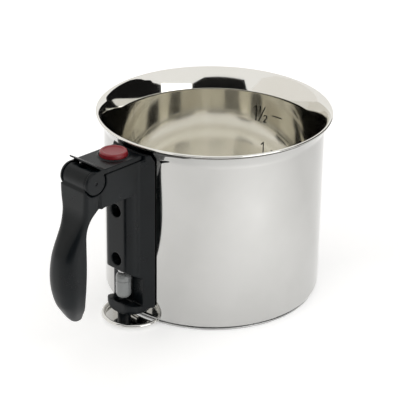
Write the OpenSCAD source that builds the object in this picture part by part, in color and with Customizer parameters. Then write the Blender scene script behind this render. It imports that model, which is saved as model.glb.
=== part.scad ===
// Double-walled simmering pot for melting wax over a water jacket.
// Origin: centre of the base's underside, on the pot's axis. +Z is up and the handle points along -X.
// Heights are measured from the datum plane, which lies a few millimetres above the table.
// Handle parts are written in a mirrored frame where +X points outward, away from the pot.

/* [Pot] */
// Outside radius of the jacket wall
body_r = 83.5; // [83:0.5:84.5]
// Height of the rim above the datum plane
pot_h = 144; // [143:0.5:145]
// Thickness of the steel sheet
sheet = 0.8; // [0.6:0.1:1]
// Inside radius of the inner bowl
bowl_r = 80; // [79:0.5:80.5]
// Height of the bowl's inside floor above the datum plane
bowl_floor = 36; // [30:0.5:38]
// Corner radius at the bottom of the bowl
bowl_corner = 16; // [8:0.5:18]
// Corner radius at the bottom of the jacket
body_corner = 6; // [5:0.5:8]
// Radius of the slow bend in the lip
flare_bend = 96; // [85:1:100]
// Radius of the bend at the lip's outer edge
lip_bend = 14; // [13:0.5:15]
// Radius of the rolled rim
rim_roll = 1; // [0.9:0.05:1.2]

/* [Base] */
// Height of the datum plane above the table
datum = 2.8; // [2.6:0.1:3.2]
// Radius of the steel cap under the pot
cap_r = 80.5; // [79:0.5:81]
// Height of the cap's upstanding edge above the table
cap_h = 2; // [1.6:0.1:2]
// Top of the heat-spreading disc above the table
core_top = 2; // [2:0.1:2.4]

/* [Handle] */
// Distance from the pot's axis to the column's front face
column_front = 101.5; // [100:0.5:103]
// Half width of the column, arm and flap
half_w = 14.5; // [14:0.1:15]
// Height of the column's foot
foot_z = 7.5; // [7:0.5:9]
// Height of the underside of the arm
arm_low = 107.5; // [106.5:0.5:109]
// Height of the arm's top edges, under the flap's skirts
arm_top = 132.9; // [132.5:0.1:133.1]
// Height of the lower screw hole
screw_low = 52.5; // [52.5:0.5:56]
// Height of the upper screw hole
screw_high = 92; // [88:0.5:94]
// Radius of the access holes in the column
access_r = 5; // [4.5:0.1:5.3]

/* [Flap] */
// Distance from the pot's axis to the hinge pin
pivot_u = 132.5; // [132:0.1:133]
// Height of the hinge pin
pivot_z = 128.3; // [128:0.1:129]
// Radius of the flap's ears
ear_r = 9.2; // [9:0.1:9.4]
// Radius of the hinge pin
pin_r = 1.2; // [1:0.1:1.4]
// Height of the flap's top face
flap_top = 137; // [136.5:0.1:137.2]
// Distance from the pot's axis to the button and the filler cup
button_u = 103; // [102.5:0.1:103.5]
// Radius of the button's foot
button_r = 10.3; // [9.8:0.1:10.4]

/* [Whistle] */
// Distance from the pot's axis to the whistle
whistle_u = 94.4; // [94:0.1:95]
// Radius of the whistle capsule
whistle_r = 5.8; // [5.4:0.1:5.9]

/* [Flame guard] */
// Radius of the guard's rolled edge
guard_r = 24; // [23.5:0.5:25]
// Distance from the pot's axis to the guard's centre
guard_u = 85; // [84:0.5:86]

/* [Hidden] */
$fn = 96;

shell_in = body_r - sheet;          // inside of the jacket wall
bowl_out = bowl_r + sheet;          // outside of the bowl's wall
neck_bend = 6;                      // radius of the bend where the lip leaves the bowl's wall
neck_tilt = 19;                     // lean of the lip after that bend
flare_tilt = 25.6;                  // lean of the lip after the slow bend
lip_tilt = 48;                      // lean of the lip at the rolled rim
lip_low = pot_h - 17.2;             // height where the lip starts
flare_c = [bowl_r + neck_bend + (flare_bend - neck_bend) * cos(neck_tilt),
           lip_low - (flare_bend - neck_bend) * sin(neck_tilt)];
lip_c = flare_c + (flare_bend - lip_bend) * [-cos(flare_tilt), sin(flare_tilt)];
rim_c = lip_c + (lip_bend - rim_roll) * [-cos(lip_tilt), sin(lip_tilt)];
shell_bend = 10;                    // radius of the bend where the jacket leaves its wall
shell_back = 2 * sheet + 0.05;      // how far the jacket's face lies behind the bowl's face in the lip
shell_tilt = acos((flare_c[0] - body_r - shell_bend) / (flare_bend - shell_back - shell_bend));
shell_high = flare_c[1] + (flare_bend - shell_back - shell_bend) * sin(shell_tilt);
shell_end = 38;                     // lean of the jacket where it stops under the rim
back_r = body_r + 1.1;              // the column's hollow back
spine_u = 91.2;                     // front of the solid part of the column
front_wall = 2.2;                   // thickness of the column's front wall
neck_z = 104;                       // height of the filler neck
well_floor = 133.4;                 // floor of the button's well
rib_top = 123.8;                    // what the flap spring's fixed leg rests on
screw_z = [screw_low, screw_high];  // both screw holes
elbow_u = 95;                       // where the cup drains into the elbow
elbow_r = 4.8;                      // outside of the elbow
tube_r = 1.9;                       // outside of the steam tube
steam_z = 43.7;                     // height where the steam tube enters the whistle's socket
steam_path = [[elbow_u, -6.5, neck_z], [elbow_u, -9.6, neck_z],
              [elbow_u, -9.6, steam_z], [whistle_u, -4.3, steam_z]];
seam_u = 128;                       // the arm's end face, where the grip starts
seam_z = 119;                       // underside of the arm's end block
end_u = 142.2;                      // outer face of the arm's end block
fillet_u = 122;                     // where the arm's underside starts to bend into the grip
fillet_r = 17;                      // radius of that bend
fillet_z = arm_low - fillet_r;      // height of its centre
grip_screw_u = 136;                 // screws that hold the grip up against the end block
guard_screw_u = 94;                 // screw that holds the flame guard under the foot
guard_low = -1.3;                   // underside of the flame guard's dish

black = [0.045, 0.05, 0.055];
steel = [0.78, 0.78, 0.76];
dark_steel = [0.5, 0.5, 0.52];
silicone = [0.75, 0.74, 0.7];

// ---------- helpers ----------
function arc(cx, cy, r, from, to, steps) =
    [for (i = [0 : steps]) let (a = from + (to - from) * i / steps) [cx + r * cos(a), cy + r * sin(a)]];

// Radius and height points along a sheet that curls outward about a centre, from one lean to another.
function curl(c, r, from, to, steps) =
    [for (i = [0 : steps]) let (a = from + (to - from) * i / steps) [c[0] - r * cos(a), c[1] + r * sin(a)]];

// The jacket's lip, shifted outward by a distance.
function shell_lip(out) = concat(
    curl([body_r + shell_bend, shell_high], shell_bend - out, 0, shell_tilt, 4),
    curl(flare_c, flare_bend - shell_back - out, shell_tilt + 0.4, flare_tilt, 3),
    curl(lip_c, lip_bend - shell_back - out, flare_tilt + 2, shell_end, 4));

module at_pot() translate([0, 0, datum]) children();
module at_handle() translate([0, 0, datum]) mirror([1, 0, 0]) children();

// A cylinder along +X from x0 to x1 at height z.
module along_u(x0, x1, z, r, y = 0, fn = 48)
    translate([x0, y, z]) rotate([0, 90, 0]) cylinder(h = x1 - x0, r = r, $fn = fn);

// A cylinder along Y, centred on the hinge line unless told otherwise.
module along_y(y0, y1, r, u = pivot_u, z = pivot_z, fn = 64)
    translate([u, y1, z]) rotate([90, 0, 0]) cylinder(h = y1 - y0, r = r, $fn = fn);

// A side profile in the U-Z plane, extruded across the handle.
module side_profile(points, y0, y1)
    translate([0, y1, 0]) rotate([90, 0, 0]) linear_extrude(y1 - y0) polygon(points);

// A straight round rod between two points.
module rod(p, q, r, fn = 32) {
    d = q - p;
    flat = sqrt(d.x * d.x + d.y * d.y);
    translate(p) rotate([0, atan2(flat, d.z), atan2(d.y, d.x)]) cylinder(h = norm(d), r = r, $fn = fn);
}

// A bent rod: straight stretches with a ball at each bend.
module bent_rod(points, r) {
    for (i = [0 : len(points) - 2]) rod(points[i], points[i + 1], r);
    for (i = [1 : len(points) - 2]) translate(points[i]) sphere(r = r, $fn = 32);
}

// A helix of round wire about Z, as one swept tube.
module coil(coil_r, wire_r, height, turns, sides = 8, steps = 16) {
    count = turns * steps;
    rings = [for (i = [0 : count]) let (a = 360 * i / steps, z = height * i / count)
        [for (k = [0 : sides - 1]) let (b = 360 * k / sides, rr = coil_r + wire_r * cos(b))
            [rr * cos(a), rr * sin(a), z + wire_r * sin(b)]]];
    tube_mesh(rings, sides);
}

// Closes a list of equal rings into a solid.
module tube_mesh(rings, sides) {
    last = len(rings) - 1;
    polyhedron(
        points = [for (ring = rings) each ring],
        faces = concat(
            [[for (k = [0 : sides - 1]) k]],
            [for (i = [0 : last - 1]) for (k = [0 : sides - 1]) let (n = (k + 1) % sides)
                each [[i * sides + k, (i + 1) * sides + k, (i + 1) * sides + n],
                      [i * sides + k, (i + 1) * sides + n, i * sides + n]]],
            [[for (k = [0 : sides - 1]) last * sides + sides - 1 - k]]),
        convexity = 6);
}

// ---------- pot ----------
module inner_bowl() {
    floor_low = bowl_floor - sheet;
    outer = concat(
        [[0, floor_low], [bowl_out - bowl_corner, floor_low]],
        arc(bowl_out - bowl_corner, floor_low + bowl_corner, bowl_corner, -90, 0, 8),
        curl([bowl_r + neck_bend, lip_low], neck_bend - sheet, 0, neck_tilt, 4),
        curl(flare_c, flare_bend - sheet, neck_tilt + 1, flare_tilt, 5),
        curl(lip_c, lip_bend - sheet, flare_tilt + 2, lip_tilt, 8));
    inner = concat(
        curl(lip_c, lip_bend, lip_tilt, flare_tilt + 2, 8),
        curl(flare_c, flare_bend, flare_tilt, neck_tilt + 1, 5),
        curl([bowl_r + neck_bend, lip_low], neck_bend, neck_tilt, 0, 4),
        arc(bowl_out - bowl_corner, floor_low + bowl_corner, bowl_corner - sheet, 0, -90, 8),
        [[0, bowl_floor]]);
    color(steel) at_pot() {
        rotate_extrude($fn = 160) polygon(concat(outer, inner));
        rotate_extrude($fn = 160) translate(rim_c) circle(r = rim_roll, $fn = 32);
    }
}

module outer_shell() {
    low = core_top - datum;
    centre = [body_r - body_corner, low + body_corner];
    lip_in = shell_lip(-sheet);
    profile = concat(
        [[0, low], [centre.x, low]],
        arc(centre.x, centre.y, body_corner, -90, 0, 10),
        shell_lip(0),
        [for (i = [len(lip_in) - 1 : -1 : 0]) lip_in[i]],
        arc(centre.x, centre.y, body_corner - sheet, 0, -90, 10),
        [[0, low + sheet]]);
    color(steel) difference() {
        at_pot() rotate_extrude($fn = 160) polygon(profile);
        at_handle() along_u(70, 90, neck_z, 4);
    }
}

module base_core()
    color([0.7, 0.71, 0.72]) translate([0, 0, sheet])
        cylinder(h = core_top - sheet, r = cap_r - sheet - 0.1, $fn = 160);

module base_cap() {
    edge = 1;
    color(steel) rotate_extrude($fn = 160) polygon(concat(
        [[0, 0], [cap_r - edge, 0]],
        arc(cap_r - edge, edge, edge, -90, 0, 4),
        [[cap_r, cap_h], [cap_r - sheet, cap_h], [cap_r - sheet, sheet], [0, sheet]]));
}

// Steel tube welded into the jacket wall: water goes in and steam comes out through it.
module filler_neck()
    color(steel) at_handle() difference() {
        along_u(shell_in - 1.1, 93.5, neck_z, 4);
        along_u(shell_in - 3, 95, neck_z, 3.2);
    }

// Two threaded bosses welded to the jacket wall for the handle's screws.
module weld_bosses()
    color(dark_steel) at_handle() for (z = screw_z) difference() {
        along_u(body_r - 1, 88, z, 4.5);
        cylinder(h = 200, r = body_r, $fn = 160);
        along_u(body_r - 2, 90, z, 2.5);
    }

// ---------- handle column and arm ----------
module column_plan() {
    corner = 7;
    side = concat(
        [[70, 22], [82, 21.3], [91.5, half_w]],
        arc(column_front - corner, half_w - corner, corner, 90, 0, 8));
    polygon(concat(side, [for (i = [len(side) - 1 : -1 : 0]) [side[i].x, -side[i].y]]));
}

// Everything the pot itself takes up beside the handle, with clearance.
module pot_space() {
    gap = back_r - body_r;
    lip = shell_lip(gap);
    cylinder(h = 200, r = back_r, $fn = 160);
    rotate_extrude($fn = 160) polygon(concat(
        [[0, 200], [0, 124], [back_r, 124]], lip, [[lip[len(lip) - 1].x, 200]]));
}

module foot_rounding()
    translate([87, 0, 0]) rotate_extrude() polygon(concat(
        [[0, foot_z]], arc(13, foot_z + 4, 4, -90, 0, 8), [[22, foot_z + 5], [22, 200], [0, 200]]));

module column() {
    post_u = 89.5;
    window = [[post_u, 13.8], [post_u, 37], [column_front + 1, 44.5], [column_front + 20, 44.5],
              [column_front + 20, 17], [column_front, 17]];
    difference() {
        intersection() {
            translate([0, 0, foot_z]) linear_extrude(flap_top - foot_z) column_plan();
            foot_rounding();
        }
        side_profile(window, -40, 40);
        translate([whistle_u, 0, 12]) cylinder(h = 31, r = whistle_r + 0.9, $fn = 48);
        translate([whistle_u, 0, 42]) cylinder(h = 3.9, r = 4.4, $fn = 48);
        translate([spine_u, -10.5, 49]) cube([column_front - front_wall - spine_u, 21, 62]);
        // step under the pot-side end of the flap
        difference() {
            translate([60, -40, arm_top]) cube([80, 80, 20]);
            cylinder(h = 300, r = 89.3, $fn = 160);
        }
    }
}

module screw_tower(z)
    along_u(spine_u - 0.5, column_front - 1, z, 6.5);

module arm() {
    corner = 3;
    seam_angle = acos((seam_u - fillet_u) / fillet_r);
    outline = concat(
        [[95, arm_low]],
        arc(fillet_u, fillet_z, fillet_r, 90, seam_angle, 5),
        [[seam_u, seam_z], [end_u, seam_z], [end_u, 123.4], [end_u - 1.6, 125], [pivot_u, 129],
         [124.5, arm_top - 2], [123, arm_top - 1], [123, arm_top - 0.6], [121, arm_top], [95, arm_top]]);
    difference() {
        union() {
            intersection() {
                side_profile(outline, -half_w, half_w);
                linear_extrude(200) polygon(concat(
                    [[90, -half_w]],
                    arc(end_u - corner, corner - half_w, corner, -90, 0, 6),
                    arc(end_u - corner, half_w - corner, corner, 0, 90, 6),
                    [[90, half_w]]));
            }
            along_y(-11.9, 11.9, 8.6);
        }
        // well that takes the cup
        translate([spine_u, -12.2, arm_low + 2.5]) cube([121 - spine_u, 24.4, 40]);
    }
    // rest for the spring's fixed leg
    translate([112, -2.6, arm_low + 1]) cube([10, 5.2, rib_top - arm_low - 1]);
}

module handle_body()
    color(black) at_handle() difference() {
        union() {
            column();
            for (z = screw_z) screw_tower(z);
            arm();
        }
        pot_space();
        for (z = screw_z) {
            along_u(spine_u, 140, z, access_r);
            along_u(70, 100, z, 2.7);
            along_u(70, 88.3, z, 4.8);
        }
        along_u(70, spine_u + 1, neck_z, 5.4);
        translate([elbow_u, 0, neck_z - 6]) cylinder(h = 18, r = elbow_r + 0.3, $fn = 48);
        translate([spine_u, -12.2, arm_low + 2.5]) cube([121 - spine_u, 24.4, 40]);
        bent_rod(steam_path, tube_r + 0.2);
        translate([guard_screw_u, 0, 0]) cylinder(h = 10, r = 1.5, $fn = 24);
        // recesses for the flap's ears
        for (s = [-1, 1]) along_y(s * 13.45 - 1.55, s * 13.45 + 1.55, ear_r + 0.6);
        for (s = [-1, 1]) translate([117, s * 13.45 - 1.55, arm_top]) cube([16, 3.1, 20]);
        // room for the flap's spring and for its moving leg to swing up
        along_y(-3.3, 3.3, 3.5);
        translate([120.5, -3.3, rib_top]) cube([12.7, 6.6, 20]);
        along_y(-20, 20, pin_r);
        for (y = [-8, 8]) translate([grip_screw_u, y, 112]) cylinder(h = 12, r = 1.5, $fn = 24);
    }

// ---------- grip ----------
// Stations down the grip: height, inner face, outer face, half width, and how far the outer
// corners' rounding reaches along the depth and across the width.
grip_stations = [[119, 128.1, 142.2, 14.5, 3, 3], [112, 128.1, 142.2, 14, 3, 3],
                 [105, 130.4, 142.3, 13.5, 3.4, 3.8], [98.5, 136.8, 144, 12.9, 4, 5],
                 [91.3, 138.9, 147.9, 12.3, 6, 8], [84.5, 139, 152.5, 12.1, 8, 10],
                 [78, 139.2, 156, 12.3, 9, 11], [71, 139.5, 158.5, 12.7, 9.5, 11.6],
                 [60, 140.1, 160.1, 13.2, 9.5, 12], [50, 140.6, 160.2, 13.1, 9.5, 12],
                 [42, 140.6, 159.2, 12.3, 9.2, 11.4], [34, 139.6, 157.2, 10.3, 8.5, 9.4],
                 [27.6, 137.9, 153.6, 7.8, 7, 7], [21.8, 136.9, 149.8, 4.7, 5.4, 4.2],
                 [18, 136.8, 146.4, 2.5, 4, 2.2], [16.2, 137.6, 143.6, 1.5, 2.6, 1.3],
                 [15.5, 139.2, 141.6, 0.6, 1, 0.5]];
grip_steps = 3;
corner_steps = 8;

// A smooth curve through the stations.
function station(i) = grip_stations[max(0, min(len(grip_stations) - 1, i))];
function smooth(a, b, c, d, t) =
    0.5 * (2 * b + (c - a) * t + (2 * a - 5 * b + 4 * c - d) * t * t + (3 * b - a - 3 * c + d) * t * t * t);
// The inner face follows the arm's fillet from the seam down.
function inner_face(z, below) = z > fillet_z
    ? max(seam_u + 0.1, fillet_u + sqrt(max(0, fillet_r * fillet_r - (z - fillet_z) * (z - fillet_z))))
    : below;
function grip_corner(u, y, ru, ry, from) =
    [for (i = [0 : corner_steps]) let (a = from + 90 * i / corner_steps) [u + ru * cos(a), y + ry * sin(a)]];
function grip_ring(s) =
    let (z = s[0], inner = inner_face(z, s[1]), outer = s[2], w = s[3],
         ru = min(s[4], (outer - inner) * 0.7), ry = s[5], ri = min(3, 0.8 * w, (outer - inner) * 0.25))
    [for (p = concat(
        grip_corner(outer - ru, w - ry, ru, ry, 0), grip_corner(inner + ri, w - ri, ri, ri, 90),
        grip_corner(inner + ri, ri - w, ri, ri, 180), grip_corner(outer - ru, ry - w, ru, ry, 270)))
        [p.x, p.y, z]];

module grip_form() {
    rings = [for (i = [0 : len(grip_stations) - 2]) for (j = [0 : grip_steps - 1])
        grip_ring(smooth(station(i - 1), station(i), station(i + 1), station(i + 2), j / grip_steps))];
    tube_mesh(concat(rings, [grip_ring(station(len(grip_stations) - 1))]), 4 * corner_steps + 4);
}

module grip()
    color(black) at_handle() difference() {
        grip_form();
        for (y = [-8, 8]) translate([grip_screw_u, y, 110]) cylinder(h = 12, r = 1.5, $fn = 24);
    }

// Two screws that hold the grip up against the arm's end.
module grip_screws()
    color(dark_steel) at_handle() for (y = [-8, 8]) translate([grip_screw_u, y, 112.5])
        cylinder(h = 9.3, r = 1.5, $fn = 24);

// ---------- fasteners ----------
module handle_screws()
    color(dark_steel) at_handle() for (z = screw_z) difference() {
        union() {
            along_u(84.2, 92.6, z, 2.4);
            along_u(92.2, 95, z, 4.2);
        }
        along_u(93.6, 96, z, 1.6, fn = 6);
    }

module handle_washers()
    color(steel) at_handle() for (z = screw_z) difference() {
        along_u(spine_u, 92.2, z, 4.7);
        along_u(spine_u - 1, 93, z, 2.7);
    }

module wall_gasket() {
    half_angle = 13.5;
    color([0.03, 0.03, 0.03]) at_handle() difference() {
        translate([0, 0, 14]) rotate([0, 0, -half_angle])
            rotate_extrude(angle = 2 * half_angle, $fn = 160) translate([body_r + 0.05, 0]) square([1, 112]);
        along_u(70, 90, neck_z, 5.4);
        for (z = screw_z) along_u(70, 90, z, 4.8);
    }
}

// ---------- water and steam path ----------
module filler_cup() {
    low = 112;
    rim = 129;
    color(steel) at_handle() translate([button_u, 0, 0]) difference() {
        translate([0, 0, low]) cylinder(h = rim - low, r = 11.2, $fn = 64);
        translate([0, 0, low + 1.2]) cylinder(h = 30, r = 10.2, $fn = 64);
        translate([elbow_u - button_u, 0, low - 1]) cylinder(h = 5, r = 3, $fn = 32);
    }
}

module filler_elbow()
    color(silicone) at_handle() difference() {
        union() {
            translate([elbow_u, 0, neck_z]) cylinder(h = 8, r = elbow_r, $fn = 48);
            along_u(91.4, elbow_u, neck_z, elbow_r);
            translate([elbow_u, 0, neck_z]) sphere(r = elbow_r, $fn = 48);
            rod([elbow_u, 0, neck_z], [elbow_u, -6.5, neck_z], 2.6);
        }
        translate([elbow_u, 0, neck_z]) cylinder(h = 20, r = 3, $fn = 32);
        along_u(90, 93.5, neck_z, 4);
        along_u(90, elbow_u, neck_z, 3);
        rod([elbow_u, 0, neck_z], [elbow_u, -8, neck_z], 1.6);
    }

module steam_tube()
    color(silicone) at_handle() difference() {
        bent_rod(steam_path, tube_r);
        bent_rod(steam_path, 1.1);
    }

module whistle_socket()
    color(dark_steel) at_handle() translate([whistle_u, 0, 0]) difference() {
        translate([0, 0, 40.2]) cylinder(h = 5.4, r = 4, $fn = 48);
        translate([0, 0, 39]) cylinder(h = 5.6, r = 2.6, $fn = 32);
        rod([0, 0, steam_z], [0, -6, steam_z], 1.1);
    }

module whistle_seal()
    color([0.03, 0.03, 0.03]) at_handle() translate([whistle_u, 0, 39.7])
        rotate_extrude() translate([3.3, 0]) circle(r = 0.45, $fn = 24);

module whistle_body() {
    low = 18.2;
    high = 39.2;
    round = 4.2;
    skin = 0.9;
    outer = concat([[0, low]], arc(whistle_r - round, low + round, round, -90, 0, 6),
                   arc(whistle_r - round, high - round, round, 0, 90, 6), [[0, high]]);
    inner = concat([[0, low + skin]], arc(whistle_r - round, low + round, round - skin, -90, 0, 6),
                   arc(whistle_r - round, high - round, round - skin, 0, 90, 6), [[0, high - skin]]);
    color([0.72, 0.74, 0.75]) at_handle() translate([whistle_u, 0, 0]) difference() {
        rotate_extrude($fn = 64) polygon(outer);
        rotate_extrude($fn = 64) polygon(inner);
        translate([0, 0, high - 2]) cylinder(h = 4, r = 2, $fn = 32);
        translate([0, 0, low - 1]) cylinder(h = 4, r = 1.2, $fn = 24);
    }
}

// The two dished plates that make the sound.
module whistle_discs()
    color([0.8, 0.65, 0.35]) at_handle() for (z = [22, 24.4]) translate([whistle_u, 0, z]) difference() {
        cylinder(h = 0.5, r = 4.4, $fn = 48);
        translate([0, 0, -1]) cylinder(h = 3, r = 0.8, $fn = 24);
    }

// ---------- flame guard ----------
module guard_cut()
    cylinder(h = 60, r = body_r + 0.2, center = true, $fn = 160);

module flame_guard() {
    bead = 1.5;
    bend = 2.4;
    foot_r = guard_r - bead - 2;
    bead_z = guard_low + 2.75;
    color(steel) at_handle() difference() {
        translate([guard_u, 0, 0]) {
            rotate_extrude($fn = 128) polygon(concat(
                [[0, guard_low], [foot_r, guard_low]],
                arc(foot_r, guard_low + bend, bend, -90, 0, 4),
                [[foot_r + bend, bead_z], [foot_r + bend - 0.8, bead_z]],
                arc(foot_r, guard_low + bend, bend - 0.8, 0, -90, 4),
                [[0, guard_low + 0.8]]));
            rotate_extrude($fn = 128) translate([foot_r + 2, bead_z]) circle(r = bead, $fn = 32);
        }
        guard_cut();
        translate([guard_screw_u, 0, guard_low - 1]) cylinder(h = 5, r = 1.6, $fn = 24);
    }
}

module guard_spacer() {
    low = guard_low + 0.8;
    color(black) at_handle() translate([guard_screw_u, 0, low]) difference() {
        cylinder(h = foot_z - low, r = 5, $fn = 48);
        translate([0, 0, -1]) cylinder(h = 12, r = 1.7, $fn = 24);
    }
}

module guard_screw()
    color(dark_steel) at_handle() translate([guard_screw_u, 0, 0]) {
        translate([0, 0, guard_low - 0.7]) cylinder(h = 0.7, r = 3, $fn = 48);
        translate([0, 0, guard_low - 0.2]) cylinder(h = 9.6 - guard_low, r = 1.5, $fn = 24);
    }

// ---------- flap ----------
module hinge_pin()
    color(dark_steel) at_handle() along_y(0.6 - half_w, half_w - 0.6, pin_r, fn = 48);

// Wire path of the flap's torsion spring: a leg under the flap, the turns and a leg on the rib.
function spring_path(r, half_len, turns, steps) = concat(
    [[116.5, half_len, flap_top - 3.7], [124, half_len, flap_top - 4.6]],
    [for (i = [0 : steps]) let (a = 90 - 360 * turns * i / steps)
        [pivot_u + r * cos(a), half_len - 2 * half_len * i / steps, pivot_z + r * sin(a)]],
    [[124, -half_len, rib_top + 1.1], [116.5, -half_len, rib_top + 0.6]]);

module flap_spring() {
    wire = 0.5;
    sides = 8;
    path = spring_path(2.6, 2.6, 4.5, 72);
    last = len(path) - 1;
    rings = [for (i = [0 : last]) let (
        t = path[min(i + 1, last)] - path[max(i - 1, 0)],
        out = cross(t, [0, 1, 0]) / norm(cross(t, [0, 1, 0])))
        [for (k = [0 : sides - 1]) let (a = 360 * k / sides)
            path[i] + wire * (cos(a) * out + sin(a) * [0, 1, 0])]];
    color(dark_steel) at_handle() tube_mesh(rings, sides);
}

// A rounded disc at one side of the flap, on the hinge line.
module ear(side) {
    thick = 2.4;
    edge = 1.6;
    translate([pivot_u, side * (half_w - thick), pivot_z]) rotate([-90 * side, 0, 0])
        rotate_extrude($fn = 64) polygon(concat(
            [[0, 0], [ear_r, 0]], arc(ear_r - edge, thick - edge, edge, 0, 90, 4), [[0, thick]]));
}

module flap() {
    skirt = 2;
    skirt_low = arm_top + 0.4;
    tab = [[121, flap_top - 3], [121, flap_top], [124.2, flap_top], [131.4, 141.1],
           [132.1, 141], [132, 140.2], [125, 135.9], [123.5, flap_top - 3]];
    color(black) at_handle() difference() {
        union() {
            translate([80, -half_w, flap_top - 3]) cube([43.5, 2 * half_w, 3]);
            side_profile(tab, -half_w, half_w);
            translate([button_u, 0, 131.4]) cylinder(h = flap_top + 0.7 - 131.4, r = 11.6, $fn = 64);
            for (s = [-1, 1]) {
                side_y = s * (half_w - skirt / 2);
                translate([80, side_y - skirt / 2, skirt_low]) cube([52.5, skirt, flap_top - skirt_low]);
                ear(s);
            }
        }
        cylinder(h = 300, r = 89.8, $fn = 160);
        translate([button_u, 0, well_floor]) cylinder(h = 20, r = button_r + 0.35, $fn = 64);
        translate([button_u, 0, 120]) cylinder(h = 30, r = 2.56, $fn = 48);
        along_y(-30, 30, pin_r + 0.06, fn = 48);
    }
}

module flap_seal()
    color(silicone) at_handle() translate([button_u, 0, 129.3]) difference() {
        cylinder(h = 2.1, r = 11.4, $fn = 64);
        translate([0, 0, -1]) cylinder(h = 5, r = 3.4, $fn = 32);
    }

// ---------- button ----------
module red_button() {
    top = 140.8;
    low = 135.5;
    color([0.75, 0.04, 0.06]) at_handle() translate([button_u, 0, 0]) difference() {
        union() {
            rotate_extrude($fn = 96) polygon(concat(
                [[0, low], [button_r, low], [button_r, 137.2]],
                arc(button_r - 1.4, top - 0.7, 0.7, 20, 90, 4),
                [[button_r - 2.3, top], [button_r - 3.2, top - 0.5], [0, top - 0.8]]));
            translate([0, 0, 126.2]) cylinder(h = 10, r = 2.5, $fn = 48);
        }
        difference() {
            translate([0, 0, low - 1]) cylinder(h = 4.3, r = 6, $fn = 48);
            translate([0, 0, low - 2]) cylinder(h = 6, r = 2.5, $fn = 48);
        }
        difference() {
            translate([0, 0, 127]) cylinder(h = 0.8, r = 4, $fn = 48);
            translate([0, 0, 126]) cylinder(h = 3, r = 1.9, $fn = 48);
        }
    }
}

module button_spring()
    color(steel) at_handle() translate([button_u, 0, well_floor + 0.35]) coil(4.2, 0.3, 4.7, 4);

// Silicone washer that closes the vent from below until the button is pressed.
module vent_washer()
    color(silicone) at_handle() translate([button_u, 0, 127.85]) difference() {
        cylinder(h = 1.2, r = 5.5, $fn = 48);
        translate([0, 0, -1]) cylinder(h = 4, r = 2.5, $fn = 48);
    }

module button_clip()
    color(steel) at_handle() translate([button_u, 0, 127.05]) difference() {
        cylinder(h = 0.7, r = 4.2, $fn = 48);
        translate([0, 0, -1]) cylinder(h = 3, r = 1.9, $fn = 48);
        translate([0, -1.2, -1]) cube([6, 2.4, 3]);
    }

inner_bowl();
outer_shell();
base_core();
base_cap();
filler_neck();
weld_bosses();
wall_gasket();
handle_body();
grip();
grip_screws();
handle_screws();
handle_washers();
filler_cup();
filler_elbow();
steam_tube();
whistle_socket();
whistle_seal();
whistle_body();
whistle_discs();
flame_guard();
guard_spacer();
guard_screw();
hinge_pin();
flap_spring();
flap();
flap_seal();
red_button();
button_spring();
vent_washer();
button_clip();
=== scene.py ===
import math
import bmesh
import bpy
from mathutils import Matrix, Vector


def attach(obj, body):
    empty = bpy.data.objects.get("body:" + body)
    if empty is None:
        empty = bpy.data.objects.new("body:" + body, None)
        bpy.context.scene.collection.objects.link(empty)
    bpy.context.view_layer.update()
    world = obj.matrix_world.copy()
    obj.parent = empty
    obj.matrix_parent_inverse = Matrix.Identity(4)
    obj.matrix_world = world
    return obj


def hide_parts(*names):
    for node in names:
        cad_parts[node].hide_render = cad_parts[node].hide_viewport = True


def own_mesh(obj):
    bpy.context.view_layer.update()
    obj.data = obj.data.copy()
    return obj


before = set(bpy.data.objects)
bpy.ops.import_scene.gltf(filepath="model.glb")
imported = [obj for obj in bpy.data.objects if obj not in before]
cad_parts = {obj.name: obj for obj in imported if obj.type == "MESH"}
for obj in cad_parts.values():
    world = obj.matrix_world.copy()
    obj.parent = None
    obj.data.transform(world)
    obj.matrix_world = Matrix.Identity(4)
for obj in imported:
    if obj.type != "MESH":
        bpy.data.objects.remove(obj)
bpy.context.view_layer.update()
MM = 0.001

# ---------- sizes, in millimetres ----------
BODY_R = 83.5                   # outside of the jacket wall
BOWL_R = 80.0                   # inside of the bowl's wall
SHEET = 0.8                     # thickness of the steel
FLOOR_Z = 38.8                  # inside floor of the bowl
BOWL_CORNER = 16.0
BODY_CORNER = 6.0
SHELL_LOW_Z = 2.0               # underside of the jacket
CAP_R, CAP_H = 80.5, 2.0
LIP_LOW = 129.6                 # where the bowl's wall starts to bend out
NECK_BEND, FLARE_BEND, LIP_BEND, RIM_ROLL = 6.0, 96.0, 14.0, 1.0
NECK_TILT, FLARE_TILT, LIP_TILT = 19.0, 25.6, 48.0
SHELL_BEND, SHELL_BACK, SHELL_END = 10.0, 1.65, 38.0
BUTTON_X = -103.0
POCKET_TOP = 141.6              # roof of the button's pocket, at rest
PIVOT_X, PIVOT_Z = -132.5, 131.1
WHISTLE_X = -94.4
GUARD_X = -85.0
LATHE_STEPS = 256
CARD_BASE_Z = 140.8             # height the studio cards' elevations are seen from
GUARD_GAP = 0.2                 # clearance between the flame guard and the jacket
VIEW_AZIMUTH = -46.0            # the photograph's side of the object, in degrees


def turn_of(angle):
    return math.cos(math.radians(angle)), math.sin(math.radians(angle))


# centres of the lip's slow bend, its edge and its rolled rim, as radius and height
FLARE_C = (BOWL_R + NECK_BEND + (FLARE_BEND - NECK_BEND) * turn_of(NECK_TILT)[0],
           LIP_LOW - (FLARE_BEND - NECK_BEND) * turn_of(NECK_TILT)[1])
LIP_C = (FLARE_C[0] - (FLARE_BEND - LIP_BEND) * turn_of(FLARE_TILT)[0],
         FLARE_C[1] + (FLARE_BEND - LIP_BEND) * turn_of(FLARE_TILT)[1])
RIM_C = (LIP_C[0] - (LIP_BEND - RIM_ROLL) * turn_of(LIP_TILT)[0],
         LIP_C[1] + (LIP_BEND - RIM_ROLL) * turn_of(LIP_TILT)[1])


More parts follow.
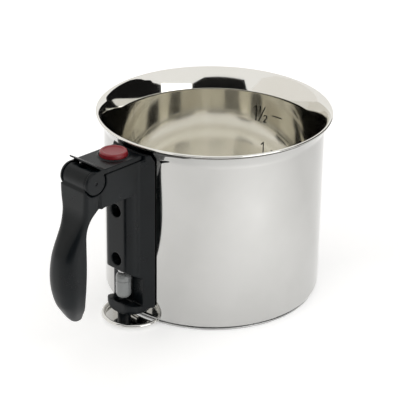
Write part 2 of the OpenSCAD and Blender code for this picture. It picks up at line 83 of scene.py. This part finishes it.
# ---------- mesh helpers ----------
def new_object(name, verts, faces, material=None):
    """A smooth-shaded mesh from points in millimetres."""
    mesh = bpy.data.meshes.new(name)
    mesh.from_pydata([[c * MM for c in v] for v in verts], [], faces)
    mesh.validate()
    soften(mesh)
    obj = bpy.data.objects.new(name, mesh)
    bpy.context.scene.collection.objects.link(obj)
    if material:
        mesh.materials.append(material)
    return obj


def soften(mesh, crease=32.0):
    """Smooth shading, with edges sharper than the crease left crisp."""
    for polygon in mesh.polygons:
        polygon.use_smooth = True
    mesh.set_sharp_from_angle(angle=math.radians(crease))


def curl(centre, radius, start, end, steps):
    """Radius and height points along a sheet that curls outward about a centre, from one lean to another."""
    points = []
    for i in range(steps + 1):
        c, d = turn_of(start + (end - start) * i / steps)
        points.append((centre[0] - radius * c, centre[1] + radius * d))
    return points


def arc(cx, cz, radius, start, end, steps):
    """Points along a circular arc, angles in degrees."""
    turn = [math.radians(start + (end - start) * i / steps) for i in range(steps + 1)]
    return [(cx + radius * math.cos(a), cz + radius * math.sin(a)) for a in turn]


def lathe(name, profile, material, centre=(0.0, 0.0), steps=LATHE_STEPS):
    """Turns a closed outline of (radius, height) points about a vertical axis.
    Points at radius 0 share one vertex."""
    verts, rings = [], []
    for radius, height in profile:
        if radius < 1e-6:
            rings.append([len(verts)] * steps)
            verts.append((centre[0], centre[1], height))
            continue
        rings.append(list(range(len(verts), len(verts) + steps)))
        for i in range(steps):
            a = 2 * math.pi * i / steps
            verts.append((centre[0] + radius * math.cos(a), centre[1] + radius * math.sin(a), height))
    faces = []
    for k, ring in enumerate(rings):
        after = rings[(k + 1) % len(rings)]
        for i in range(steps):
            j = (i + 1) % steps
            corners = [ring[i], ring[j], after[j], after[i]]
            face = [c for n, c in enumerate(corners) if c not in corners[:n]]
            if len(face) > 2:
                faces.append(face)
    return new_object(name, verts, faces, material)


def apply_modifier(obj, kind, **settings):
    """Adds one modifier, applies it and keeps the result as the object's mesh."""
    modifier = obj.modifiers.new(kind, kind)
    for key, value in settings.items():
        setattr(modifier, key, value)
    graph = bpy.context.evaluated_depsgraph_get()
    mesh = bpy.data.meshes.new_from_object(obj.evaluated_get(graph))
    obj.modifiers.clear()
    obj.data = mesh
    return obj


def moulded_copy(name, nodes, voxel, smoothing, material):
    """One closed, soft-edged moulding made from the shapes of CAD nodes."""
    joined = bmesh.new()
    for node in nodes:
        joined.from_mesh(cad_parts[node].data)
    bmesh.ops.remove_doubles(joined, verts=joined.verts, dist=1e-6)
    mesh = bpy.data.meshes.new(name)
    joined.to_mesh(mesh)
    joined.free()
    obj = bpy.data.objects.new(name, mesh)
    bpy.context.scene.collection.objects.link(obj)
    apply_modifier(obj, "REMESH", mode="VOXEL", voxel_size=voxel * MM)
    apply_modifier(obj, "SMOOTH", factor=0.5, iterations=smoothing)
    obj.data.materials.clear()
    obj.data.materials.append(material)
    for polygon in obj.data.polygons:
        polygon.use_smooth = True
    return obj


def place(obj, body, slot, *nodes):
    """Rides a piece on its body and hides the CAD nodes it stands for. The slot, its finish's name, is not used."""
    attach(obj, body)
    if nodes:
        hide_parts(*nodes)
    return obj


# ---------- materials ----------
class Shader:
    """A Principled material built up from procedural textures in the object's own coordinates."""

    def __init__(self, name, color, metallic=0.0, roughness=0.5, **constants):
        self.material = bpy.data.materials.new(name)
        self.material.use_nodes = True
        self.nodes = self.material.node_tree.nodes
        self.links = self.material.node_tree.links
        self.shader = self.nodes["Principled BSDF"]
        self.shader.inputs["Base Color"].default_value = (*color, 1)
        self.shader.inputs["Metallic"].default_value = metallic
        self.shader.inputs["Roughness"].default_value = roughness
        for key, value in constants.items():
            self.shader.inputs[key.replace("_", " ")].default_value = value
        self.where = self.nodes.new("ShaderNodeTexCoord").outputs["Object"]
        self.normal = None

    def stretched(self, scale):
        mapping = self.nodes.new("ShaderNodeMapping")
        mapping.inputs["Scale"].default_value = scale
        self.links.new(self.where, mapping.inputs["Vector"])
        return mapping.outputs["Vector"]

    def noise(self, per_metre, detail=3.0, rough=0.5, stretch=(1, 1, 1)):
        texture = self.nodes.new("ShaderNodeTexNoise")
        texture.inputs["Scale"].default_value = per_metre
        texture.inputs["Detail"].default_value = detail
        texture.inputs["Roughness"].default_value = rough
        self.links.new(self.stretched(stretch), texture.inputs["Vector"])
        return texture.outputs["Fac"]

    def remap(self, value, low, high, from_low=0.3, from_high=0.7):
        node = self.nodes.new("ShaderNodeMapRange")
        for key, number in (("From Min", from_low), ("From Max", from_high), ("To Min", low), ("To Max", high)):
            node.inputs[key].default_value = number
        self.links.new(value, node.inputs["Value"])
        return node.outputs["Result"]

    def vary_roughness(self, value, low, high):
        self.links.new(self.remap(value, low, high), self.shader.inputs["Roughness"])

    def vary_color(self, value, first, second):
        ramp = self.nodes.new("ShaderNodeValToRGB")
        ramp.color_ramp.elements[0].position = 0.35
        ramp.color_ramp.elements[0].color = (*first, 1)
        ramp.color_ramp.elements[1].position = 0.65
        ramp.color_ramp.elements[1].color = (*second, 1)
        self.links.new(value, ramp.inputs["Fac"])
        self.links.new(ramp.outputs["Color"], self.shader.inputs["Base Color"])

    def bump(self, value, strength, depth):
        node = self.nodes.new("ShaderNodeBump")
        node.inputs["Strength"].default_value = strength
        node.inputs["Distance"].default_value = depth
        self.links.new(value, node.inputs["Height"])
        if self.normal:
            self.links.new(self.normal, node.inputs["Normal"])
        self.normal = node.outputs["Normal"]
        self.links.new(self.normal, self.shader.inputs["Normal"])


def polished_steel(name, light, dark, wave=0.00006, rough=(0.035, 0.085)):
    """Mirror-polished sheet: a slow waviness from drawing, faint smudges and hairline polish marks."""
    s = Shader(name, light, metallic=1.0, roughness=0.05)
    s.vary_color(s.noise(26, 4), dark, light)
    s.vary_roughness(s.noise(60, 5, 0.65), *rough)
    s.bump(s.noise(9, 1, 0.3), 1.0, wave)
    s.bump(s.noise(900, 2, 0.5, (1, 1, 0.06)), 0.05, 0.00001)
    return s.material


def satin_steel(name, color, grain=(1, 1, 14)):
    """Spun or drawn steel with fine turning marks."""
    s = Shader(name, color, metallic=1.0, roughness=0.3)
    s.vary_roughness(s.noise(180, 4), 0.22, 0.38)
    s.bump(s.noise(420, 3, 0.6, grain), 0.25, 0.00003)
    s.vary_color(s.noise(55, 3), [c * 0.86 for c in color], color)
    return s.material


def moulded_plastic(name, dark, light, rough, grain_depth, **constants):
    """Black or coloured thermoset with a fine moulded grain and slight handling polish."""
    s = Shader(name, light, roughness=rough[0], **constants)
    s.vary_color(s.noise(38, 4), dark, light)
    s.vary_roughness(s.noise(75, 5, 0.6), *rough)
    s.bump(s.noise(1500, 2, 0.6), 0.35, grain_depth)
    return s.material


def rubber(name, color):
    s = Shader(name, color, roughness=0.7)
    s.vary_color(s.noise(90, 3), [c * 0.8 for c in color], color)
    s.vary_roughness(s.noise(140, 4), 0.6, 0.82)
    s.bump(s.noise(1100, 3), 0.4, 0.00005)
    return s.material


STEEL_IN = polished_steel("steel_inside", (0.80, 0.785, 0.735), (0.77, 0.755, 0.70), 0.00005, (0.06, 0.10))
# painted light: the bowl's floor takes a brighter copy of the polished steel
STEEL_FLOOR_LIT = polished_steel("steel_floor_lit", (0.97, 0.96, 0.92), (0.95, 0.94, 0.90), 0.00003, (0.06, 0.11))
STEEL_LIP = polished_steel("steel_lip", (0.80, 0.79, 0.755), (0.78, 0.77, 0.73), 0.00002)
# painted shade: the underside of the rolled rim is painted near-black for its shade and dark reflection
STEEL_HEM_SHADE = satin_steel("steel_hem_painted_shade", (0.09, 0.09, 0.09))
DARK_STEEL = satin_steel("steel_oxide", (0.035, 0.036, 0.038), (1, 1, 1))
# painted shade: the stamped litre strokes are painted near-black for the shade and dark reflection of their relief
STEEL_MARK_SHADE = satin_steel("steel_mark_shade", (0.03, 0.028, 0.025), (1, 1, 1))
# painted shade: the jacket takes a darker copy of the polished steel
STEEL_OUT_SHADED = polished_steel("steel_outside_shaded", (0.54, 0.537, 0.525), (0.515, 0.513, 0.50), 0.00003)
STEEL_GUARD = polished_steel("steel_guard", (0.74, 0.735, 0.715), (0.70, 0.695, 0.675), 0.00002)
CAP_STEEL = satin_steel("steel_cap", (0.60, 0.60, 0.595))
PLAIN_STEEL = satin_steel("steel_plain", (0.50, 0.50, 0.50), (1, 1, 1))
WIRE = satin_steel("spring_wire", (0.48, 0.48, 0.49), (1, 1, 1))
ALUMINIUM = satin_steel("aluminium_disc", (0.72, 0.73, 0.74))
BRASS = satin_steel("brass_plate", (0.66, 0.50, 0.24))
BLACK = moulded_plastic("black_plastic", (0.0022, 0.0036, 0.0046), (0.0042, 0.0062, 0.0078), (0.26, 0.36), 0.00001,
                        Specular_IOR_Level=0.22)
RED = moulded_plastic("red_plastic", (0.21, 0.010, 0.016), (0.27, 0.014, 0.021), (0.26, 0.36), 0.00001)
GREY = moulded_plastic("whistle_grey", (0.24, 0.25, 0.25), (0.30, 0.31, 0.31), (0.12, 0.18), 0.000004)
BLACK_RUBBER = rubber("black_rubber", (0.02, 0.02, 0.02))
SILICONE = rubber("silicone", (0.66, 0.64, 0.60))

NODE_MATERIALS = {
    ALUMINIUM: ["base_core"],
    PLAIN_STEEL: ["filler_neck", "weld_bosses", "grip_screws", "handle_screws", "handle_washers", "filler_cup",
                  "whistle_socket", "guard_screw"],
    DARK_STEEL: ["hinge_pin", "flap_spring"],
    WIRE: ["button_spring", "button_clip"],
    BRASS: ["whistle_discs"],
    BLACK_RUBBER: ["wall_gasket", "whistle_seal"],
    SILICONE: ["filler_elbow", "steam_tube", "flap_seal", "vent_washer"],
    BLACK: ["guard_spacer", "handle_body", "grip", "flap"],
    STEEL_IN: ["inner_bowl", "flame_guard"],
    STEEL_OUT_SHADED: ["outer_shell"],
    CAP_STEEL: ["base_cap"],
    RED: ["red_button"],
    GREY: ["whistle_body"],
}


def paint_nodes():
    """Gives every CAD node its finish, shown or not."""
    for material, nodes in NODE_MATERIALS.items():
        for node in nodes:
            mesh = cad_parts[node].data
            mesh.materials.clear()
            mesh.materials.append(material)


# ---------- pot ----------
def make_inner_bowl():
    out_r, low = BOWL_R + SHEET, FLOOR_Z - SHEET
    neck = (BOWL_R + NECK_BEND, LIP_LOW)
    back = [(0, low)] + arc(out_r - BOWL_CORNER, low + BOWL_CORNER, BOWL_CORNER, -90, 0, 14)
    back += curl(neck, NECK_BEND - SHEET, 0, NECK_TILT, 10)
    back += curl(FLARE_C, FLARE_BEND - SHEET, NECK_TILT + 0.4, FLARE_TILT, 14)
    back += curl(LIP_C, LIP_BEND - SHEET, FLARE_TILT + 1, LIP_TILT - 4, 12)
    roll = arc(RIM_C[0], RIM_C[1], RIM_ROLL, -149, 180 - LIP_TILT - 8, 26)
    face = curl(LIP_C, LIP_BEND, LIP_TILT, FLARE_TILT + 1, 20)
    face += curl(FLARE_C, FLARE_BEND, FLARE_TILT, NECK_TILT + 0.4, 16)
    face += curl(neck, NECK_BEND, NECK_TILT, 0, 12)
    face += arc(out_r - BOWL_CORNER, low + BOWL_CORNER, BOWL_CORNER - SHEET, 0, -90, 16) + [(0, FLOOR_Z)]
    bowl = lathe("bowl", back + roll + face, STEEL_IN)
    for material in (STEEL_LIP, STEEL_HEM_SHADE, STEEL_FLOOR_LIT):
        bowl.data.materials.append(material)
    wall_index, lip_index, hem_shade_index, lit_floor_index = range(4)
    for polygon in bowl.data.polygons:
        radius, height = polygon.center.xy.length / MM, polygon.center.z / MM
        index = wall_index
        # the outer, lower half of the rim's roll takes the painted-shade steel
        if radius > RIM_C[0] - 0.35 and height < RIM_C[1] - 0.3:
            index = hem_shade_index
        elif height > LIP_LOW + 1.5:
            index = lip_index
        # the bowl's floor takes the painted-light steel
        elif abs(height - FLOOR_Z) < 0.3 and radius < BOWL_R - BOWL_CORNER + 2:
            index = lit_floor_index
        polygon.material_index = index
    place(bowl, "pot", "polished_steel", "inner_bowl")


def make_outer_shell():
    tilt_c = (FLARE_C[0] - BODY_R - SHELL_BEND) / (FLARE_BEND - SHELL_BACK - SHELL_BEND)
    tilt = math.degrees(math.acos(tilt_c))
    bend_c = (BODY_R + SHELL_BEND, FLARE_C[1] + (FLARE_BEND - SHELL_BACK - SHELL_BEND) * turn_of(tilt)[1])

    def lip(inward):
        points = curl(bend_c, SHELL_BEND + inward, 0, tilt, 10)
        points += curl(FLARE_C, FLARE_BEND - SHELL_BACK + inward, tilt + 0.3, FLARE_TILT, 8)
        return points + curl(LIP_C, LIP_BEND - SHELL_BACK + inward, FLARE_TILT + 1, SHELL_END, 10)

    corner = (BODY_R - BODY_CORNER, SHELL_LOW_Z + BODY_CORNER)
    profile = [(0, SHELL_LOW_Z)] + arc(*corner, BODY_CORNER, -90, 0, 18) + lip(0) + lip(SHEET)[::-1]
    profile += arc(*corner, BODY_CORNER - SHEET, 0, -90, 10) + [(0, SHELL_LOW_Z + SHEET)]
    place(lathe("jacket", profile, STEEL_OUT_SHADED), "pot", "polished_steel", "outer_shell")


def make_base_cap():
    edge = 1.1
    profile = [(0, 0)] + arc(CAP_R - edge, edge, edge, -90, 0, 6)
    profile += arc(CAP_R - SHEET / 2, CAP_H - SHEET / 2, SHEET / 2, 0, 180, 6)
    profile += [(CAP_R - SHEET, SHEET), (0, SHEET)]
    place(lathe("cap", profile, CAP_STEEL), "pot", "base_steel", "base_cap")


def wall_line(points, radius=0.55, sides=8):
    """A raised stroke pressed into the bowl's wall. Points are (millimetres to the right, height) about a mark."""
    path = []
    for (s0, z0), (s1, z1) in zip(points, points[1:]):
        count = max(2, int(math.hypot(s1 - s0, z1 - z0) / 0.5))
        path += [(s0 + (s1 - s0) * i / count, z0 + (z1 - z0) * i / count) for i in range(count)]
    path.append(points[-1])
    verts, faces = [], []
    for i, (s, z) in enumerate(path):
        before, after = path[max(i - 1, 0)], path[min(i + 1, len(path) - 1)]
        along = Vector((after[0] - before[0], after[1] - before[1])).normalized()
        fade = 0.35 if i in (0, len(path) - 1) else 1.0
        for k in range(sides):
            c, d = turn_of(360 * k / sides)
            verts.append((s - along.y * c * radius * fade, z + along.x * c * radius * fade, d * radius * fade * 0.8))
    for i in range(len(path) - 1):
        for k in range(sides):
            n = (k + 1) % sides
            faces.append((i * sides + k, i * sides + n, (i + 1) * sides + n, (i + 1) * sides + k))
    faces.append(tuple(range(sides))[::-1])
    faces.append(tuple(len(verts) - sides + k for k in range(sides)))
    return verts, faces


def make_litre_marks():
    """Plain capacity marks: one and a half litres with its line, one litre, and half a litre."""
    one = [[(-1.8, 3.9), (0.5, 6.6), (0.5, -6.6)]]
    half = [[(-1.2, 5.8), (0.0, 6.6), (0.0, 1.2)], [(4.3, 6.6), (-1.4, -6.6)],
            [(3.1, -1.7), (4.0, -0.5), (5.6, -0.6), (6.0, -2.3), (3.1, -6.2), (6.2, -6.2)]]
    dash = [[(0, 0), (10.2, 0)]]
    marks = [(19.6, 113.0, one), (16.6, 113.0, half), (9.0, 113.8, dash),
             (14.4, 82.4, one), (9.0, 83.4, dash), (16.6, 57.2, half), (9.0, 58.2, dash)]
    verts, faces = [], []
    for angle, height, strokes in marks:
        for stroke in strokes:
            points, quads = wall_line(stroke)
            start = len(verts)
            for s, z, lift in points:
                c, d = turn_of(angle - math.degrees(s / BOWL_R))
                r = BOWL_R + 0.1 - lift
                verts.append((r * c, r * d, height + z))
            faces += [tuple(start + v for v in quad) for quad in quads]
    place(new_object("litre_marks", verts, faces, STEEL_MARK_SHADE), "pot", "polished_steel")


# ---------- guard, whistle and button ----------
def make_flame_guard():
    """Dished plate with a rolled edge, cut away where the pot stands."""
    low, bead_r, bead_z, edge_r = 1.5, 1.5, 4.25, 22.5
    wall = edge_r - 2.0
    profile = [(0, low)] + arc(wall, low + 2.4, 2.4, -90, -30, 10)
    profile += arc(edge_r, bead_z, bead_r, -85, 240, 30)
    profile += arc(wall, low + 2.4, 1.6, -38, -90, 10) + [(0, low + 0.8)]
    guard = lathe("guard", profile, STEEL_GUARD, (GUARD_X, 0))
    knife_r = BODY_R + GUARD_GAP
    knife = lathe("knife", [(0, -20), (knife_r, -20), (knife_r, 40), (0, 40)], STEEL_GUARD)
    apply_modifier(guard, "BOOLEAN", operation="DIFFERENCE", solver="EXACT", object=knife)
    bpy.data.objects.remove(knife)
    soften(guard.data)
    guard.data.materials.clear()
    guard.data.materials.append(STEEL_GUARD)
    place(guard, "pot", "polished_steel", "flame_guard")


def make_whistle():
    r, low, high, edge = 5.8, 21.0, 42.0, 4.2
    profile = [(0, low)] + arc(r - edge, low + edge, edge, -90, 0, 14)
    profile += [(r, 35.4), (r - 0.28, 35.65), (r - 0.28, 36.15), (r, 36.4)]
    profile += arc(r - edge, high - edge, edge, 0, 90, 14) + [(0, high)]
    place(lathe("whistle", profile, GREY, (WHISTLE_X, 0), 96), "pot", "whistle_grey", "whistle_body")


def make_button():
    """Cap with a pocket for its spring and a stem with a groove for its clip."""
    r, low = 10.3, 138.3
    profile = [(0, 129.0), (2.5, 129.0), (2.5, 129.8), (1.9, 129.8), (1.9, 130.6), (2.5, 130.6)]
    profile += [(2.5, POCKET_TOP), (6.0, POCKET_TOP), (6.0, low), (r - 0.3, low), (r, low + 0.3), (r, 140.2)]
    profile += arc(r - 1.5, 142.3, 1.3, 0, 70, 10) + arc(r - 2.0, 142.75, 0.85, 80, 150, 6)
    profile += [(r - 3.4, 142.95), (r - 4.2, 142.82), (0, 142.75)]
    place(lathe("button", profile, RED, (BUTTON_X, 0), 128), "button", "red_plastic", "red_button")


# ---------- springs ----------
def wire(name, path, radius, sides=10):
    """A round wire along points in millimetres, closed at both ends."""
    points = [Vector(p) for p in path]
    last = len(points) - 1
    side, verts, faces = None, [], []
    for i, point in enumerate(points):
        along = (points[min(i + 1, last)] - points[max(i - 1, 0)]).normalized()
        guide = side if side else along.orthogonal()
        side = (guide - along * guide.dot(along)).normalized()
        other = along.cross(side)
        for k in range(sides):
            c, d = turn_of(360 * k / sides)
            verts.append(tuple(point + side * (c * radius) + other * (d * radius)))
    for i in range(last):
        for k in range(sides):
            n = (k + 1) % sides
            faces.append((i * sides + k, i * sides + n, (i + 1) * sides + n, (i + 1) * sides + k))
    faces.append(tuple(range(sides))[::-1])
    faces.append(tuple(last * sides + k for k in range(sides)))
    return new_object(name, verts, faces)


def make_button_spring():
    """Coil under the button, drawn at one fixed length; nothing here shortens it as the button goes in."""
    coil_r, wire_r, low, height, turns, steps = 4.2, 0.3, 136.55, 4.7, 4, 28
    path = []
    for i in range(turns * steps + 1):
        c, d = turn_of(360 * i / steps)
        path.append((BUTTON_X - coil_r * c, coil_r * d, low + height * i / (turns * steps)))
    spring = wire("button_coil", path, wire_r)
    spring.data.materials.append(WIRE)
    place(spring, "flap", "spring_steel", "button_spring")
    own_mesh(spring)


def make_flap_spring():
    """Torsion spring on the hinge pin: the turns and lower leg stay, the upper leg swings with the flap.
    The upper leg leaves the turns on the pot's side, so the whole swing stays inside the arm's slot."""
    coil_r, wire_r, half_len, steps = 2.6, 0.5, 2.6, 112
    leave, end = 175, -1530
    turned = []
    for i in range(steps + 1):
        c, d = turn_of(leave + (end - leave) * i / steps)
        turned.append((PIVOT_X - coil_r * c, half_len - 2 * half_len * i / steps, PIVOT_Z + coil_r * d))
    lower = [(-124.0, -half_len, 127.7), (-116.5, -half_len, 127.2)]
    upper = [turned[0], (-123.9, half_len, 132.9), (-117.6, half_len, 134.5), (-117.0, half_len, 136.2)]
    for name, path, body, nodes in (("flap_coil", turned + lower, "pot", ["flap_spring"]),
                                    ("flap_spring_leg", upper, "flap", [])):
        piece = wire(name, path, wire_r)
        piece.data.materials.append(DARK_STEEL)
        place(piece, body, "spring_steel", *nodes)


# ---------- camera and stage ----------
def place_camera():
    """Camera at the photograph's angle: 46 degrees round from the handle's side, looking 25.6 degrees down."""
    azimuth = math.radians(VIEW_AZIMUTH)
    distance, height = 1.142, 0.6168
    pitch, yaw, roll = math.radians(25.6), -0.0087, math.radians(0.75)
    cam = bpy.data.objects.new("camera", bpy.data.cameras.new("camera"))
    bpy.context.scene.collection.objects.link(cam)
    cam.data.sensor_width = 36.0
    cam.data.lens = 36.0 * 4.0925
    spot = Vector((math.sin(azimuth) * distance, -math.cos(azimuth) * distance, height))
    turn = Matrix.Rotation(azimuth - yaw, 4, "Z")
    tip = Matrix.Rotation(math.radians(90.0) - pitch, 4, "X")
    bank = Matrix.Rotation(roll, 4, "Z")
    cam.matrix_world = Matrix.Translation(spot) @ turn @ tip @ bank
    bpy.context.scene.camera = cam


def plain_emitter(name, color, strength, diffuse):
    material = bpy.data.materials.new(name)
    material.use_nodes = True
    shader = material.node_tree.nodes["Principled BSDF"]
    shader.inputs["Base Color"].default_value = (diffuse, diffuse, diffuse, 1)
    shader.inputs["Roughness"].default_value = 1.0
    shader.inputs["Specular IOR Level"].default_value = 0.0
    shader.inputs["Emission Color"].default_value = (*color, 1)
    shader.inputs["Emission Strength"].default_value = strength
    return material


def studio_card(name, columns, material, distance):
    """A curved card round the object. Each column is its azimuth, lowest and highest elevation in degrees, where
    azimuth 0 is toward the camera and positive is to its right, seen from the rim. A card shows in reflections
    only, so it never stands between a camera and the object."""
    steps = 12
    verts, faces = [], []
    for azimuth, low, high in columns:
        turn = math.radians(VIEW_AZIMUTH + azimuth)
        for k in range(steps + 1):
            lift = math.radians(low + (high - low) * k / steps)
            verts.append((distance * math.sin(turn), -distance * math.cos(turn),
                          max(2.0, CARD_BASE_Z + distance * math.tan(lift))))
    for i in range(len(columns) - 1):
        for k in range(steps):
            a = i * (steps + 1) + k
            faces.append((a, a + 1, a + steps + 2, a + steps + 1))
    card = new_object(name, verts, faces, material)
    card.visible_camera = False


def floor_paper():
    """White paper, with a painted pool of light: its glow is brighter in a soft patch on the right-hand side of the
    pot.
    """
    material = plain_emitter("floor_paper", (1, 1, 1), 0.45, 0.8)
    nodes, links = material.node_tree.nodes, material.node_tree.links
    place_node = nodes.new("ShaderNodeMapping")
    place_node.vector_type = "TEXTURE"
    turn = math.radians(VIEW_AZIMUTH + 42)
    place_node.inputs["Location"].default_value = (0.26 * math.sin(turn), -0.26 * math.cos(turn), 0)
    place_node.inputs["Scale"].default_value = (0.24, 0.24, 0.24)
    # painted light: a spherical gradient raises the floor's glow in a soft patch to the pot's right
    pool = nodes.new("ShaderNodeTexGradient")
    pool.gradient_type = "SPHERICAL"
    painted_pool_glow = nodes.new("ShaderNodeMapRange")
    painted_pool_glow.inputs["To Min"].default_value = 0.42
    painted_pool_glow.inputs["To Max"].default_value = 0.80
    links.new(nodes.new("ShaderNodeTexCoord").outputs["Object"], place_node.inputs["Vector"])
    links.new(place_node.outputs["Vector"], pool.inputs["Vector"])
    links.new(pool.outputs["Fac"], painted_pool_glow.inputs["Value"])
    links.new(painted_pool_glow.outputs["Result"], nodes["Principled BSDF"].inputs["Emission Strength"])
    return material


def build_stage():
    floor_size = 9000.0
    corners = [(x * floor_size, y * floor_size, 0) for x, y in ((-1, -1), (1, -1), (1, 1), (-1, 1))]
    new_object("floor", corners, [(0, 1, 2, 3)], floor_paper())
    dark = plain_emitter("dark_card", (1, 1, 1), 0.0, 0.01)
    bright = plain_emitter("bright_card", (1, 1, 1), 2.2, 0.5)
    cream = plain_emitter("cream_card", (1.0, 0.97, 0.92), 0.70, 0.2)
    studio_card("card_camera", [(a, -5, top) for a, top in
                                ((-37, 12), (-33, 25), (-20, 27), (-4, 28), (12, 27), (25, 20))], dark, 1600)
    studio_card("card_left", [(a, -12, top) for a, top in
                              ((62, 19), (72, 21), (85, 30), (94, 38), (105, 42), (117, 42), (130, 30), (143, 14))],
                dark, 900)
    studio_card("card_window", [(a, -1, 20) for a in (26, 38, 50, 61)], bright, 1500)
    studio_card("card_right", [(a, -12, top) for a, top in
                               ((-42, 16), (-50, 23), (-70, 42), (-84, 51), (-109, 47), (-128, 18), (-134, -4))],
                cream, 1000)
    world = bpy.data.worlds.new("studio")
    world.use_nodes = True
    world.node_tree.nodes["Background"].inputs[0].default_value = (0.98, 0.97, 0.95, 1)
    world.node_tree.nodes["Background"].inputs[1].default_value = 0.98
    bpy.context.scene.world = world
    bpy.context.scene.view_settings.view_transform = "Standard"


place_camera()
build_stage()
paint_nodes()
make_inner_bowl()
make_outer_shell()
make_base_cap()
make_litre_marks()
make_flame_guard()
make_whistle()
make_button()
make_button_spring()
make_flap_spring()
place(moulded_copy("handle_moulding", ["handle_body", "grip"], 0.6, 6, BLACK), "pot", "black_plastic",
      "handle_body", "grip")
place(moulded_copy("flap_moulding", ["flap"], 0.36, 3, BLACK), "flap", "black_plastic", "flap")
